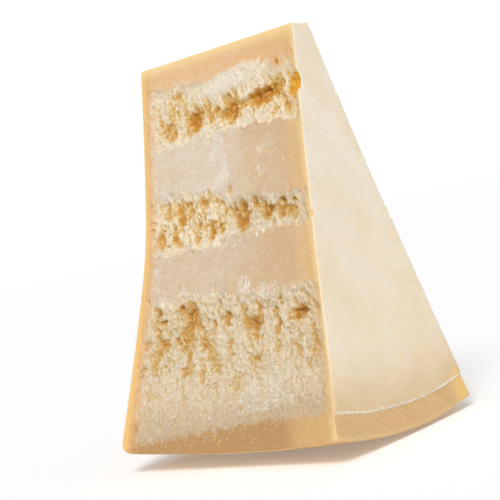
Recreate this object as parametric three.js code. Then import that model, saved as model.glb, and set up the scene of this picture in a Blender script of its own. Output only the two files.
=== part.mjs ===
// A wedge of hard aged cheese, split from half of a wheel and stood on its outer rind. Millimetres, +Z up.
// It is described in the wheel's own frame first, and then leaned onto the floor. In the wheel's frame the
// centre of the cut is the origin, X runs along the wheel's axis, and the radius runs down from the tip.
import * as THREE from "three";
import { mergeVertices } from "three/addons/utils/BufferGeometryUtils.js";

const { lerp, smoothstep, clamp, degToRad } = THREE.MathUtils;

// The wheel, and how the wedge was taken from it
const WHEEL_RADIUS = 212;
const HALF_HEIGHT = 120.6; // cut face to flat rind, halfway out from the centre
const SECTOR = degToRad(25.5);
const TIP_RADIUS = 23; // where the tip was taken off, at the cut face
const TIP_RADIUS_AT_RIND = 8.2; // the same at the flat rind, because the tip is cut askew
const BARREL = 10; // how far the wheel's side draws in from the cut face to the rim
const RIM_ROUNDING = 6;
const SCORED_DEPTH = 12; // how deep the rind was scored all round before the wheel was parted
const SCORED_STEP = 0.8; // the scored band lies this much below the rest of the cut face

// Faces that aren't quite flat
const CUT_SLOPE = 0.0193;
const CUT_BOW = 6.3;
const RIND_SLOPE = 0.0357;
const RIM_FLARE = 28.4; // how fast the flat rind, and the front split with it, spread towards the rim
const FLARE_KNEE = 0.5; // where the spreading starts, in wheel radii
const FLARE_SOFTNESS = 0.12;
const REAR_SWELL = 3.2;
const TIP_WAVE = { depth: 1.2, across: 13, round: 5, seed: 60 };
const SIDE_WAVE = { depth: 0.8, size: 30, seed: 61 };

// How it stands: it leans back, and towards its flat rind as far as the barrel of its side lets it
const LEAN_BACK = SECTOR / 2 + degToRad(4);
const LEAN_TO_RIND = degToRad(5);
const CENTRE = new THREE.Vector3(48.5, 18.1, 213.2); // of the wheel, over a floor that the rind lies flat on

// Relief of the two split faces
const RECESS = 1.1; // a rough band lies this much below the smooth ones
const CRAG = { depth: 4.2, width: 8.5, length: 17, slant: 0.22 };
const LUMP = { depth: 1.3, size: 7 };
const WAVE = { depth: 0.5, size: 42 };
const BAND_SOFTNESS = 0.012; // half the width of a band's edge, in wheel radii
const BAND_WANDER = { reach: 0.024, size: 17 };
const CUT_BORDER = 4.5; // the sound strip that a split face keeps along the cut face
const RIND_BORDER = 6.5; // and along the flat rind

// Each rough band has its start and its end in wheel radii, first at the cut face and then at the flat rind,
// and the strength of its crags at its start and at its end. The lowest band ends at the scored rind.
// A crevice has its place across (0 cut face, 1 flat rind) and out (wheel radii), its width across,
// its length along the radius, and its depth.
const FRONT = {
  seed: 3,
  bands: [
    { start: [0.184, 0.105], end: [0.312, 0.245], crag: [0.6, 0.8] },
    { start: [0.475, 0.362], end: [0.548, 0.5], crag: [1.0, 0.9] },
    { start: [0.682, 0.603], end: [0.945, 0.945], crag: [1.1, 0.05] },
  ],
  crevices: [
    { across: 0.57, out: 0.212, width: 18, length: 10, depth: 3.8 },
    { across: 0.38, out: 0.222, width: 24, length: 13, depth: 5.4 },
    { across: 0.19, out: 0.222, width: 26, length: 11, depth: 5.4 },
    { across: 0.01, out: 0.234, width: 9, length: 14, depth: 4.2 },
    { across: 0.72, out: 0.14, width: 7, length: 12, depth: 2.8 },
    { across: 0.8, out: 0.206, width: 13, length: 14, depth: 3.0 },
    { across: 0.36, out: 0.468, width: 10, length: 26, depth: 5.4 },
    { across: 0.56, out: 0.49, width: 9, length: 22, depth: 4.8 },
    { across: 0.86, out: 0.455, width: 8, length: 24, depth: 3.8 },
    { across: 0.12, out: 0.502, width: 20, length: 11, depth: 4.0 },
    { across: 0.0, out: 0.529, width: 4, length: 6, depth: 2.2 },
    { across: 0.11, out: 0.722, width: 14, length: 17, depth: 5.0 },
    { across: 0.3, out: 0.726, width: 9, length: 20, depth: 4.6 },
    { across: 0.47, out: 0.702, width: 16, length: 13, depth: 4.0 },
    { across: 0.69, out: 0.74, width: 9, length: 28, depth: 3.8 },
    { across: 0.9, out: 0.7, width: 8, length: 30, depth: 3.4 },
  ],
};
const REAR = {
  seed: 40,
  bands: [
    { start: [0.16, 0.2], end: [0.3, 0.33], crag: [0.9, 0.7] },
    { start: [0.43, 0.46], end: [0.6, 0.57], crag: [0.8, 1.0] },
    { start: [0.7, 0.74], end: [0.945, 0.945], crag: [1.0, 0.1] },
  ],
};
const REAR_CREVICES_PER_BAND = 5;
// The flake that stands over the upper crevices of the front split
const FLAKE = { across: 0.4, out: 0.168, width: 78, length: 17, height: 1.8 };

// Squares of the skin: across, along the radius, and from the front split to the rear one
const SQUARES = { across: 32, along: 60, round: 10 };
const CROWDING = 1.1; // how much closer the squares stand where the split faces are rough

// A repeatable number from 0 to 1 for each whole-number place
function hash(i, j, seed) {
  const turned = Math.sin(i * 127.1 + j * 311.7 + seed * 74.7) * 43758.5453;
  return turned - Math.floor(turned);
}

// Smooth noise from 0 to 1, with one bump to a unit
function noise(x, y, seed) {
  const i = Math.floor(x);
  const j = Math.floor(y);
  const alongX = smoothstep(x - i, 0, 1);
  const near = lerp(hash(i, j, seed), hash(i + 1, j, seed), alongX);
  const far = lerp(hash(i, j + 1, seed), hash(i + 1, j + 1, seed), alongX);
  return lerp(near, far, smoothstep(y - j, 0, 1));
}

// How far the rim's flare has grown at a place out from the centre, in wheel radii
function flare(out) {
  const past = out - FLARE_KNEE;
  return (Math.hypot(past, FLARE_SOFTNESS) + past - FLARE_SOFTNESS) / 2;
}

// Where the cut face lies along the wheel's axis
function cutFaceX(out) {
  const pastScore = out * WHEEL_RADIUS - (WHEEL_RADIUS - SCORED_DEPTH);
  const bowed = CUT_BOW * ((out - 0.5) ** 2 - 0.08);
  return CUT_SLOPE * (out - 0.5) * WHEEL_RADIUS + bowed - SCORED_STEP * smoothstep(pastScore, -1, 1);
}

// Where the flat rind lies along the wheel's axis
function flatRindX(out) {
  return -HALF_HEIGHT - RIND_SLOPE * (out - 0.5) * WHEEL_RADIUS - RIM_FLARE * flare(out);
}

// Radius of the wheel's side: a barrel, with a rounded rim at the flat rind
function sideRadius(across) {
  const intoRim = Math.max(0, 1 - ((1 - across) * HALF_HEIGHT) / RIM_ROUNDING);
  return WHEEL_RADIUS - BARREL * across ** 2 - RIM_ROUNDING * (1 - Math.sqrt(1 - intoRim ** 2));
}

// A band's start and end at a place across, with edges that wander
function bandReach(split, band, across) {
  const stretch = (across * HALF_HEIGHT) / BAND_WANDER.size;
  const wander = BAND_WANDER.reach * (noise(stretch, band.start[0] * 10, split.seed) - 0.5);
  return { start: lerp(...band.start, across) + wander, end: lerp(...band.end, across) - wander };
}

// How rough a split face is at a place, and how strong its crags are, both from 0 to about 1
function roughness(split, across, out) {
  const fromCut = smoothstep(across * HALF_HEIGHT, 0.2 * CUT_BORDER, CUT_BORDER);
  const fromRind = smoothstep((1 - across) * HALF_HEIGHT, 0.5 * RIND_BORDER, 1.3 * RIND_BORDER);
  const here = { rough: 0, crag: 0 };
  for (const band of split.bands) {
    const { start, end } = bandReach(split, band, across);
    const begun = smoothstep(out, start - BAND_SOFTNESS, start + BAND_SOFTNESS);
    const ended = smoothstep(out, end - BAND_SOFTNESS, end + BAND_SOFTNESS);
    const rough = begun * (1 - ended) * fromCut * fromRind;
    if (rough > here.rough) {
      here.rough = rough;
      here.crag = lerp(...band.crag, clamp((out - start) / (end - start), 0, 1));
    }
  }
  return here;
}

// How much of a round hollow, or of a swelling, there is at a place: 1 in its middle and 0 past its rim
function hollow(across, out, { across: middle, out: middleOut, width, length }) {
  const aside = ((across - middle) * HALF_HEIGHT) / (width / 2);
  const away = ((out - middleOut) * WHEEL_RADIUS) / (length / 2);
  return 1 - smoothstep(Math.hypot(aside, away), 0.2, 1.1);
}

// How deep a split face lies below its plane
function splitDepth(split, across, out) {
  const x = across * HALF_HEIGHT;
  const y = out * WHEEL_RADIUS;
  const { rough, crag } = roughness(split, across, out);
  const crags = noise((x + CRAG.slant * y) / CRAG.width, y / CRAG.length, split.seed + 1);
  const lumps = LUMP.depth * (noise(x / LUMP.size, y / LUMP.size, split.seed + 2) - 0.5);
  const waves = WAVE.depth * (noise(x / WAVE.size, y / WAVE.size, split.seed + 3) - 0.5);
  let broken = rough * crag * CRAG.depth * smoothstep(crags, 0.42, 0.95);
  for (const crevice of split.crevices) {
    broken = Math.max(broken, crevice.depth * hollow(across, out, crevice));
  }
  return waves + rough * (RECESS + lumps) + broken;
}

// Crevices for a split face, spread along its rough bands by a seeded draw
function drawnCrevices(split, perBand) {
  return split.bands.flatMap((band, row) =>
    Array.from({ length: perBand }, (_, n) => {
      const draw = (kind) => hash(n + row * perBand, kind, split.seed);
      const across = lerp(0.08, 0.94, (n + 0.2 + 0.6 * draw(1)) / perBand);
      const { start, end } = bandReach(split, band, across);
      return {
        across,
        out: lerp(start, end, 0.2 + 0.35 * draw(2)),
        width: 8 + 9 * draw(3),
        length: 12 + 14 * draw(4),
        depth: 3 + 2.4 * draw(5),
      };
    }),
  );
}
REAR.crevices = drawnCrevices(REAR, REAR_CREVICES_PER_BAND);

// A point of the wedge in the wheel's frame. Each argument runs from 0 to 1: across from the cut face to the
// flat rind, along from the tip to the wheel's side, and round from the front split to the rear one.
// Each face's relief fades towards the face opposite, so the faces keep meeting along their edges.
function wheelPoint(across, along, round) {
  const radius = lerp(lerp(TIP_RADIUS, TIP_RADIUS_AT_RIND, across), sideRadius(across), along);
  const out = radius / WHEEL_RADIUS;
  const spread = (RIM_FLARE * across ** 2 * flare(out)) / radius;
  const angle = SECTOR * round - spread * (1 - round);

  const swelling = FLAKE.height * hollow(across, out, FLAKE);
  const frontDepth = splitDepth(FRONT, across, out) - swelling;
  const rearSwell = REAR_SWELL * Math.sin(Math.PI * along) * Math.sin((Math.PI * across) / 2);
  const rearDepth = splitDepth(REAR, across, out) - rearSwell;
  const x = across * HALF_HEIGHT;
  const arc = radius * angle;
  const tipDepth = TIP_WAVE.depth * (noise(x / TIP_WAVE.across, arc / TIP_WAVE.round, TIP_WAVE.seed) - 0.5);
  const sideDepth = SIDE_WAVE.depth * (noise(x / SIDE_WAVE.size, arc / SIDE_WAVE.size, SIDE_WAVE.seed) - 0.5);

  const reliefRadius = radius + tipDepth * (1 - along) - sideDepth * along;
  const point = new THREE.Vector3(
    lerp(cutFaceX(out), flatRindX(out), across),
    reliefRadius * Math.sin(angle),
    -reliefRadius * Math.cos(angle),
  );
  point.y += frontDepth * (1 - round);
  point.y -= rearDepth * round * Math.cos(SECTOR);
  point.z -= rearDepth * round * Math.sin(SECTOR);
  return point;
}

// Places along the radius, from 0 to 1, that stand closer together where the split faces are rough
function alongPlaces(count) {
  const slices = 600;
  const reached = [0];
  for (let n = 0; n < slices; n += 1) {
    const out = (n + 0.5) / slices;
    const rough = (roughness(FRONT, 0.5, out).rough + roughness(REAR, 0.5, out).rough) / 2;
    reached.push(reached[n] + 1 + CROWDING * rough);
  }
  return Array.from({ length: count + 1 }, (_, step) => {
    const wanted = (reached[slices] * step) / count;
    const n = clamp(reached.findIndex((value) => value > wanted) - 1, 0, slices - 1);
    return step === count ? 1 : (n + (wanted - reached[n]) / (reached[n + 1] - reached[n])) / slices;
  });
}

// Turns each square's diagonal to the shorter one, so that ridges and crevices stay sharp
function turnDiagonals(geometry) {
  const index = geometry.getIndex();
  const position = geometry.getAttribute("position");
  const corner = (n) => new THREE.Vector3().fromBufferAttribute(position, n);
  for (let first = 0; first < index.count; first += 6) {
    const [a, b, d, , c] = index.array.slice(first, first + 6);
    if (corner(a).distanceTo(corner(c)) < corner(b).distanceTo(corner(d))) {
      index.array.set([a, b, c, a, c, d], first);
    }
  }
}

// The wedge's closed skin: a box of squares with shared corners, drawn out to the wedge's shape and stood up
function wedgeGeometry() {
  const box = new THREE.BoxGeometry(1, 1, 1, SQUARES.across, SQUARES.along, SQUARES.round);
  box.deleteAttribute("normal");
  box.deleteAttribute("uv");
  const skin = mergeVertices(box);
  const places = alongPlaces(SQUARES.along);
  const stand = new THREE.Matrix4()
    .makeRotationY(-LEAN_TO_RIND)
    .multiply(new THREE.Matrix4().makeRotationX(-LEAN_BACK));

  const position = skin.getAttribute("position");
  for (let n = 0; n < position.count; n += 1) {
    const across = 0.5 - position.getX(n);
    const along = places[Math.round((0.5 - position.getY(n)) * SQUARES.along)];
    const round = 0.5 - position.getZ(n);
    const point = wheelPoint(across, along, round).applyMatrix4(stand).add(CENTRE);
    position.setXYZ(n, point.x, point.y, Math.max(point.z, 0));
  }
  turnDiagonals(skin);
  return skin;
}

const cheese = new THREE.MeshStandardMaterial({ color: 0xe9cf9f, roughness: 0.75, metalness: 0 });
const wedge = new THREE.Mesh(wedgeGeometry(), cheese);
wedge.name = "cheese_wedge";

const part = new THREE.Group();
part.add(wedge);
export default part;
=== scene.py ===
"""A wedge of hard aged cheese, split from half of a wheel and stood on its outer rind.

Lengths are in millimetres until a mesh or a light is made. The wedge is described in the wheel's own frame
first: its origin is the centre of the cut, X runs along the wheel's axis, and the radius runs down from
the tip.
"""

import logging
import math
from dataclasses import dataclass, field
from enum import Enum
from typing import Any

import bmesh
import bpy
import numpy as np
from mathutils import Matrix, Vector

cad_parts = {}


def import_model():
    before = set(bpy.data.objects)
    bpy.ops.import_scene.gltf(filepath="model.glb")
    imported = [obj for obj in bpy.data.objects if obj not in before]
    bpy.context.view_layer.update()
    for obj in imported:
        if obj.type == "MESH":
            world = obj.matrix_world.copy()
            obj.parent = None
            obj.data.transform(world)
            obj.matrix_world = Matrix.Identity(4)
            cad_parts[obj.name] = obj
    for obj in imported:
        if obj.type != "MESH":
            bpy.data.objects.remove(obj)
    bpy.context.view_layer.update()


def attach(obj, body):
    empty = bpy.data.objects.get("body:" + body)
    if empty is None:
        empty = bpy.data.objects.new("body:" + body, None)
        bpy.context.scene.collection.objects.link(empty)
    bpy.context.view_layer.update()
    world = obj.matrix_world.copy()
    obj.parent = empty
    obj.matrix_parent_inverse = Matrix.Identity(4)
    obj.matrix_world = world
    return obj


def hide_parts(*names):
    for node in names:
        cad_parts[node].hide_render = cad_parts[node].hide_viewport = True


log = logging.getLogger("wedge")
MM = 0.001
Numbers = np.ndarray


# Numbers that the shapes share


def smoothstep(value: Numbers, low: float, high: float) -> Numbers:
    """Rises smoothly from 0 to 1.

    Args:
        value: what is measured.
        low: where the rise starts.
        high: where it ends.

    Returns:
        The rise at each value, from 0 to 1.
    """
    part = np.clip((value - low) / (high - low), 0.0, 1.0)
    return part * part * (3.0 - 2.0 * part)


def lerp(start: Numbers | float, end: Numbers | float, part: Numbers | float) -> Numbers | float:
    """Goes straight from one value to another.

    Args:
        start: the value at 0.
        end: the value at 1.
        part: how far along, from 0 to 1.

    Returns:
        The value there.
    """
    return start + (end - start) * part


def draw(i: Numbers, j: Numbers, seed: float) -> Numbers:
    """Draws a repeatable number for each whole-number place.

    Args:
        i: the place's first number.
        j: its second number.
        seed: the draw's own number.

    Returns:
        A number from 0 to 1 for each place.
    """
    turned = np.sin(i * 127.1 + j * 311.7 + seed * 74.7) * 43758.5453
    return turned - np.floor(turned)


def noise(x: Numbers, y: Numbers, seed: float) -> Numbers:
    """Smooth noise, with one bump to a unit.

    Args:
        x: places along the first direction.
        y: places along the second.
        seed: the noise's own number.

    Returns:
        A value from 0 to 1 at each place.
    """
    i, j = np.floor(x), np.floor(y)
    along = smoothstep(x - i, 0.0, 1.0)
    near = lerp(draw(i, j, seed), draw(i + 1, j, seed), along)
    far = lerp(draw(i, j + 1, seed), draw(i + 1, j + 1, seed), along)
    return lerp(near, far, smoothstep(y - j, 0.0, 1.0))


def clods(x: Numbers, y: Numbers, seed: float) -> Numbers:
    """Broken lumps of uneven height, with about one lump to a unit.

    Args:
        x: places along the first direction.
        y: places along the second.
        seed: the pattern's own number.

    Returns:
        How low each place is, from 0 on top of the highest lump to 1 in the cracks.
    """
    i, j = np.floor(x), np.floor(y)
    first, second, height = np.full(np.shape(x), 9.0), np.full(np.shape(x), 9.0), np.zeros(np.shape(x))
    for aside in (-1, 0, 1):
        for away in (-1, 0, 1):
            middle_x = i + aside + 0.1 + 0.8 * draw(i + aside, j + away, seed)
            middle_y = j + away + 0.1 + 0.8 * draw(i + aside, j + away, seed + 0.5)
            far = np.hypot(x - middle_x, y - middle_y)
            second = np.where(far < first, first, np.minimum(second, far))
            height = np.where(far < first, draw(i + aside, j + away, seed + 0.25), height)
            first = np.minimum(first, far)
    return 1.0 - smoothstep(second - first, 0.0, 0.45) * (0.35 + 0.65 * height)


def grains(x: Numbers, y: Numbers, seed: float) -> Numbers:
    """Rounded grains of uneven height, with about one grain to a unit.

    Args:
        x: places along the first direction.
        y: places along the second.
        seed: the pattern's own number.

    Returns:
        How low each place is, from 0 on top of the highest grain to 1 between grains.
    """
    i, j = np.floor(x), np.floor(y)
    top = np.zeros(np.shape(x))
    for aside in (-1, 0, 1):
        for away in (-1, 0, 1):
            middle_x = i + aside + 0.1 + 0.8 * draw(i + aside, j + away, seed)
            middle_y = j + away + 0.1 + 0.8 * draw(i + aside, j + away, seed + 0.5)
            size = 0.45 + 0.4 * draw(i + aside, j + away, seed + 0.25)
            part = np.maximum(0.0, 1.0 - (np.hypot(x - middle_x, y - middle_y) / size) ** 2)
            top = np.maximum(top, size / 0.85 * np.sqrt(part))
    return 1.0 - top


# The wheel and its faces


@dataclass(frozen=True)
class Wheel:
    """Half of a wheel, and how the wedge was taken from it."""

    radius: float = 212.0
    half_height: float = 120.6
    sector: float = math.radians(25.5)
    tip_radius: float = 23.0
    tip_radius_at_rind: float = 8.2
    barrel: float = 10.0
    rim_rounding: float = 6.0
    scored_depth: float = 12.0
    scored_step: float = 0.8
    cut_slope: float = 0.0193
    cut_bow: float = 6.3
    rind_slope: float = 0.0357
    rim_flare: float = 28.4
    flare_knee: float = 0.5
    flare_softness: float = 0.12

    def flare(self, out: Numbers) -> Numbers:
        """How far the rim's flare has grown.

        Args:
            out: places out from the centre, in wheel radii.

        Returns:
            The flare's growth at each place.
        """
        past = out - self.flare_knee
        return (np.hypot(past, self.flare_softness) + past - self.flare_softness) / 2

    def cut_face_x(self, out: Numbers) -> Numbers:
        """Where the cut face lies along the wheel's axis.

        Args:
            out: places out from the centre, in wheel radii.

        Returns:
            The place along X.
        """
        past_score = out * self.radius - (self.radius - self.scored_depth)
        bowed = self.cut_bow * ((out - 0.5) ** 2 - 0.08)
        step = self.scored_step * smoothstep(past_score, -1.0, 1.0)
        return self.cut_slope * (out - 0.5) * self.radius + bowed - step

    def flat_rind_x(self, out: Numbers) -> Numbers:
        """Where the flat rind lies along the wheel's axis.

        Args:
            out: places out from the centre, in wheel radii.

        Returns:
            The place along X.
        """
        slope = self.rind_slope * (out - 0.5) * self.radius
        return -self.half_height - slope - self.rim_flare * self.flare(out)

    def side_radius(self, across: Numbers) -> Numbers:
        """Radius of the wheel's barrel-shaped side.

        Args:
            across: places from the cut face (0) to the flat rind (1).

        Returns:
            The radius at each place.
        """
        into_rim = np.maximum(0.0, 1.0 - (1.0 - across) * self.half_height / self.rim_rounding)
        rounding = self.rim_rounding * (1.0 - np.sqrt(1.0 - into_rim**2))
        return self.radius - self.barrel * across**2 - rounding


@dataclass(frozen=True)
class Stand:
    """How the wedge stands on its barrel-shaped rind."""

    lean_back: float = Wheel.sector / 2 + math.radians(4.0)
    lean_to_rind: float = math.radians(5.0)
    centre: tuple[float, float, float] = (48.5, 18.1, 213.2)

    def place(self, points: Numbers) -> Numbers:
        """Leans points of the wheel's frame onto the floor.

        Args:
            points: rows of X, Y and Z in the wheel's frame.

        Returns:
            The same rows in the part's frame, none below the floor.
        """
        turn = Matrix.Rotation(-self.lean_to_rind, 3, "Y") @ Matrix.Rotation(-self.lean_back, 3, "X")
        stood = points @ np.array(turn).T + np.array(self.centre)
        stood[:, 2] = np.maximum(stood[:, 2], 0.0)
        return stood


@dataclass(frozen=True)
class Band:
    """A rough band of a split face.

    Its start and its end are in wheel radii, first at the cut face and then at the flat rind. The strength
    of its crags is given at its start and at its end.
    """

    start: tuple[float, float]
    end: tuple[float, float]
    crag: tuple[float, float]


@dataclass(frozen=True)
class Hollow:
    """A crevice, a nick, a flake or a patch of bloom: its place across and out, and its size."""

    across: float
    out: float
    width: float
    length: float
    depth: float
    through: bool = False  # whether it goes on past the rough band's edge
    core: tuple[float, float] = (0.2, 1.1)  # where its wall starts and ends, from its middle to its rim

    def share(self, across: Numbers, out: Numbers, wheel: Wheel, steepness: float = 1.0) -> Numbers:
        """How much of the hollow there is at a place.

        Args:
            across: places from the cut face to the flat rind.
            out: places out from the centre, in wheel radii.
            wheel: the wheel that gives the lengths.
            steepness: how much steeper the wall on the tip's side is than the other.

        Returns:
            1 in the hollow's middle and 0 past its rim.
        """
        aside = (across - self.across) * wheel.half_height / (self.width / 2)
        away = (out - self.out) * wheel.radius / (self.length / 2)
        away = np.where(away < 0, away * steepness, away)
        return 1.0 - smoothstep(np.hypot(aside, away), *self.core)


@dataclass(frozen=True)
class Spots:
    """Places on a split face: as shares, in millimetres, and bent, so that no break runs straight."""

    across: Numbers
    out: Numbers
    x: Numbers
    y: Numbers
    bent_y: Numbers
    slanted: Numbers  # across in millimetres, bent, and leaning with the crags
    across_bent: Numbers
    out_bent: Numbers
    sound: Numbers  # from 0 at the face's side edges, where the relief ends, to 1


@dataclass(frozen=True)
class Relief:
    """What a split face's surface does at a set of places: depths in millimetres, and shares from 0 to 1.

    The hollow is what the colours follow: it counts both the crevices and the gaps between crumbs, and the
    colours turn it into painted shade and warm bounced light. The crest_highlight marks the tops of grains,
    where highlights are painted.
    """

    depth: Numbers
    sunk: Numbers
    deep: Numbers
    hollow: Numbers
    rough: Numbers
    crag: Numbers
    flake: Numbers
    frost: Numbers
    crest_highlight: Numbers


@dataclass
class SplitFace:
    """A face that was split open with a blunt knife, so it broke along the curd's grain."""

    wheel: Wheel
    seed: int
    bands: tuple[Band, ...]
    crevices: tuple[Hollow, ...] = ()
    flakes: tuple[Hollow, ...] = ()
    frosted: tuple[Hollow, ...] = ()
    nicks: tuple[Hollow, ...] = ()
    calm: tuple[Hollow, ...] = ()
    edge_wear: float = 0.0

    # The solid's own relief
    crag_depth: float = 4.2
    crag_width: float = 8.5
    crag_length: float = 17.0
    crag_slant: float = 0.22  # how far the crags lean across, for each millimetre out
    lump_depth: float = 1.3
    lump_size: float = 7.0
    wave_depth: float = 0.5
    wave_size: float = 42.0
    wander_reach: float = 0.024  # in wheel radii
    wander_size: float = 17.0
    cut_border: float = 1.4
    rind_border: float = 6.2

    # Where a rough band begins and ends
    sound_span: tuple[float, float] = (0.3, 3.5)  # from a side edge, over which the relief grows
    bend: tuple[tuple[float, float], ...] = ((2.4, 6.0), (1.1, 2.4))  # how far places stray, and over what
    ragged: tuple[tuple[float, float, float], ...] = (
        (3.4, 9.0, 9.0),
        (3.0, 3.4, 6.0),
        (2.4, 1.7, 2.2),
        (2.0, 1.1, 1.2),
    )  # how far a band's edges stray, and a bend's size across and along
    edge_width: tuple[float, float] = (9.0, 1.4)  # of a band's edge, beside weak crags and strong ones
    edge_span: tuple[float, float] = (-0.4, 0.9)  # of that width, over which the roughness grows
    crag_rise: tuple[float, float] = (-0.5, 7.0)  # inside a band's edge, over which the crags grow
    calm_share: float = 0.85

    # Slots and crevices
    crag_kept: float = 0.32  # the share of the crags' depth that is left to them, beside the finer slots
    crag_span: tuple[float, float] = (0.42, 0.95)
    slots: tuple[tuple[float, float, float], ...] = (
        (3.2, 9.0, 0.5),
        (1.8, 4.5, 0.3),
        (1.1, 1.8, 0.2),
    )  # a slot's width and length, and the share of the pattern that it makes
    slot_span: tuple[float, float] = (0.47, 0.68)
    slot_depth: float = 2.5
    steepness: float = 1.7
    crevice_rise: tuple[float, float] = (-2.5, 3.0)  # inside a band's edge, over which a crevice deepens
    fray: tuple[tuple[float, float], ...] = ((1.3, 2.4), (2.6, 5.0))  # width and length of a crevice's jags
    fray_share: float = 0.75
    fray_cut: tuple[float, float] = (0.15, 1.4)  # shallower places than this close up
    broken_span: tuple[float, float] = (0.2, 1.5)  # the depth at which paste counts as broken
    dip: float = 0.6  # how far a crevice really goes in, against the depth that its colour tells
    undercut: float = 0.22

    # Lumps and grains
    lumps: tuple[tuple[float, float, float, float], ...] = (
        (4.2, 7.0, 1.2, 0.0),
        (2.3, 3.2, 0.6, 0.1),
    )  # a lump's width, length and depth, and the share that it keeps where there are no crags
    grain: tuple[tuple[float, float, float], ...] = (
        (1.6, 0.85, 0.5),
        (1.0, 0.5, 0.9),
    )  # a grain's size and depth, and the share that it keeps
    grain_length: float = 1.6  # in grain widths
    crest_span: tuple[float, float] = (0.55, 0.2)
    crest_kept: float = 0.35
    flake_calm: tuple[float, float, float] = (0.85, 0.55, 0.7)  # what it takes from crags, lumps and grains

    # Nicks, lips and bloom
    nick_depth: float = 0.9
    nick_size: tuple[float, float] = (1.7, 2.6)
    nick_span: tuple[float, float] = (0.72, 0.92)
    nick_zone: tuple[float, float] = (-8.0, -0.5)
    lip_height: float = 0.25
    lip_place: float = -1.0  # inside a band's edge, so below 0 is outside
    lip_width: float = 0.9
    lip_fade: tuple[float, float] = (4.0, 12.0)
    fringe_share: float = 0.45
    fringe_zone: tuple[float, float] = (-5.0, -0.5)
    fringe_end: tuple[float, float] = (0.93, 0.9)  # in wheel radii
    fringe_blotch: float = 17.0
    fringe_span: tuple[float, float] = (0.35, 0.75)
    meal_frost: float = 0.35
    frost_grain: tuple[float, float] = (2.6, 0.7)  # the size of a grain of bloom, and how much it counts
    frost_height: float = 0.3
    frost_level: float = 0.7

    # What the hollow, which the colours follow as painted shade and warm bounced light, is made of
    deep_share: float = 0.35
    nick_share: float = 2.5
    gap_share: float = 0.62
    gap_kept: float = 0.4
    crack_share: float = 0.4
    crack_span: tuple[float, float] = (0.6, 1.0)

    def reach(self, band: Band, across: Numbers) -> tuple[Numbers, Numbers]:
        """Where a band starts and ends, with edges that wander.

        Args:
            band: the rough band.
            across: places from the cut face to the flat rind.

        Returns:
            The start and the end, in wheel radii.
        """
        stretch = across * self.wheel.half_height / self.wander_size
        row = np.full_like(across, band.start[0] * 10)
        wander = self.wander_reach * (noise(stretch, row, self.seed) - 0.5)
        return lerp(*band.start, across) + wander, lerp(*band.end, across) - wander

    def inside(self, across: Numbers, out: Numbers) -> tuple[Numbers, Numbers]:
        """How far inside a rough band a place is, and how strong the crags are there.

        Args:
            across: places from the cut face to the flat rind.
            out: places out from the centre, in wheel radii.

        Returns:
            Millimetres to the nearest edge, below 0 outside, and the crags' strength from 0 to about 1.
        """
        far_in, crag = np.full_like(out, -99.0), np.zeros_like(out)
        for band in self.bands:
            start, end = self.reach(band, across)
            here = np.minimum(out - start, end - out) * self.wheel.radius
            strength = lerp(*band.crag, np.clip((out - start) / (end - start), 0.0, 1.0))
            crag = np.where(here > far_in, strength, crag)
            far_in = np.maximum(here, far_in)
        from_cut = across * self.wheel.half_height - self.cut_border
        from_rind = (1.0 - across) * self.wheel.half_height - self.rind_border
        return np.minimum(far_in, np.minimum(from_cut, from_rind)), crag

    def spread_crevices(self, per_band: int) -> None:
        """Spreads crevices along the rough bands by a seeded draw.

        Args:
            per_band: how many each band gets.
        """
        drawn = []
        for row, band in enumerate(self.bands):
            for n in range(per_band):
                first, second, third, fourth, fifth = (
                    float(draw(n + row * per_band, kind, self.seed)) for kind in (1, 2, 3, 4, 5)
                )
                across = lerp(0.08, 0.94, (n + 0.2 + 0.6 * first) / per_band)
                start, end = self.reach(band, np.array([across]))
                out = float(lerp(start[0], end[0], 0.2 + 0.35 * second))
                drawn.append(Hollow(across, out, 5 + 8 * third, 9 + 15 * fourth, 2.4 + 2.2 * fifth))
        self.crevices = tuple(drawn)

    def spots(self, across: Numbers, out: Numbers) -> Spots:
        """Bends a set of places.

        Args:
            across: places from the cut face to the flat rind.
            out: places out from the centre, in wheel radii.

        Returns:
            The places, as they are and bent.
        """
        width, radius = self.wheel.half_height, self.wheel.radius
        x, y = across * width, out * radius
        sound = np.maximum(smoothstep(x, *self.sound_span), self.edge_wear)
        sound = sound * smoothstep(width - x, *self.sound_span)
        bent_x, bent_y = x.copy(), y.copy()
        for n, (reach, size) in enumerate(self.bend):
            bent_x += reach * (noise(x / size, y / size, self.seed + 11 + n) - 0.5) * sound
            bent_y += reach * (noise(x / size, y / size, self.seed + 21 + n) - 0.5)
        slanted = bent_x + self.crag_slant * bent_y
        return Spots(across, out, x, y, bent_y, slanted, bent_x / width, bent_y / radius, sound)

    def most(self, hollows: tuple[Hollow, ...], spots: Spots) -> Numbers:
        """How deep the deepest of some hollows is.

        Args:
            hollows: the hollows.
            spots: the places.

        Returns:
            The depth at each place.
        """
        depth = np.zeros_like(spots.x)
        for hollow in hollows:
            share = hollow.share(spots.across_bent, spots.out_bent, self.wheel)
            depth = np.maximum(depth, hollow.depth * share)
        return depth

    def torn_open(self, spots: Spots, far_in: Numbers) -> Numbers:
        """How deep the crevices are, with jagged rims.

        Args:
            spots: the places.
            far_in: millimetres inside a rough band's edge.

        Returns:
            The depth at each place.
        """
        torn = np.zeros_like(spots.x)
        for crevice in self.crevices:
            share = crevice.share(spots.across_bent, spots.out_bent, self.wheel, self.steepness)
            share *= 1.0 if crevice.through else smoothstep(far_in, *self.crevice_rise)
            torn = np.maximum(torn, crevice.depth * share)
        jags = [
            noise(spots.slanted / wide, spots.bent_y / long, self.seed + 81 + wide)
            for wide, long in self.fray
        ]
        torn = torn * (1.0 + self.fray_share * (2.0 * sum(jags) / len(jags) - 1.0))
        return torn * smoothstep(torn, *self.fray_cut)

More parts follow.
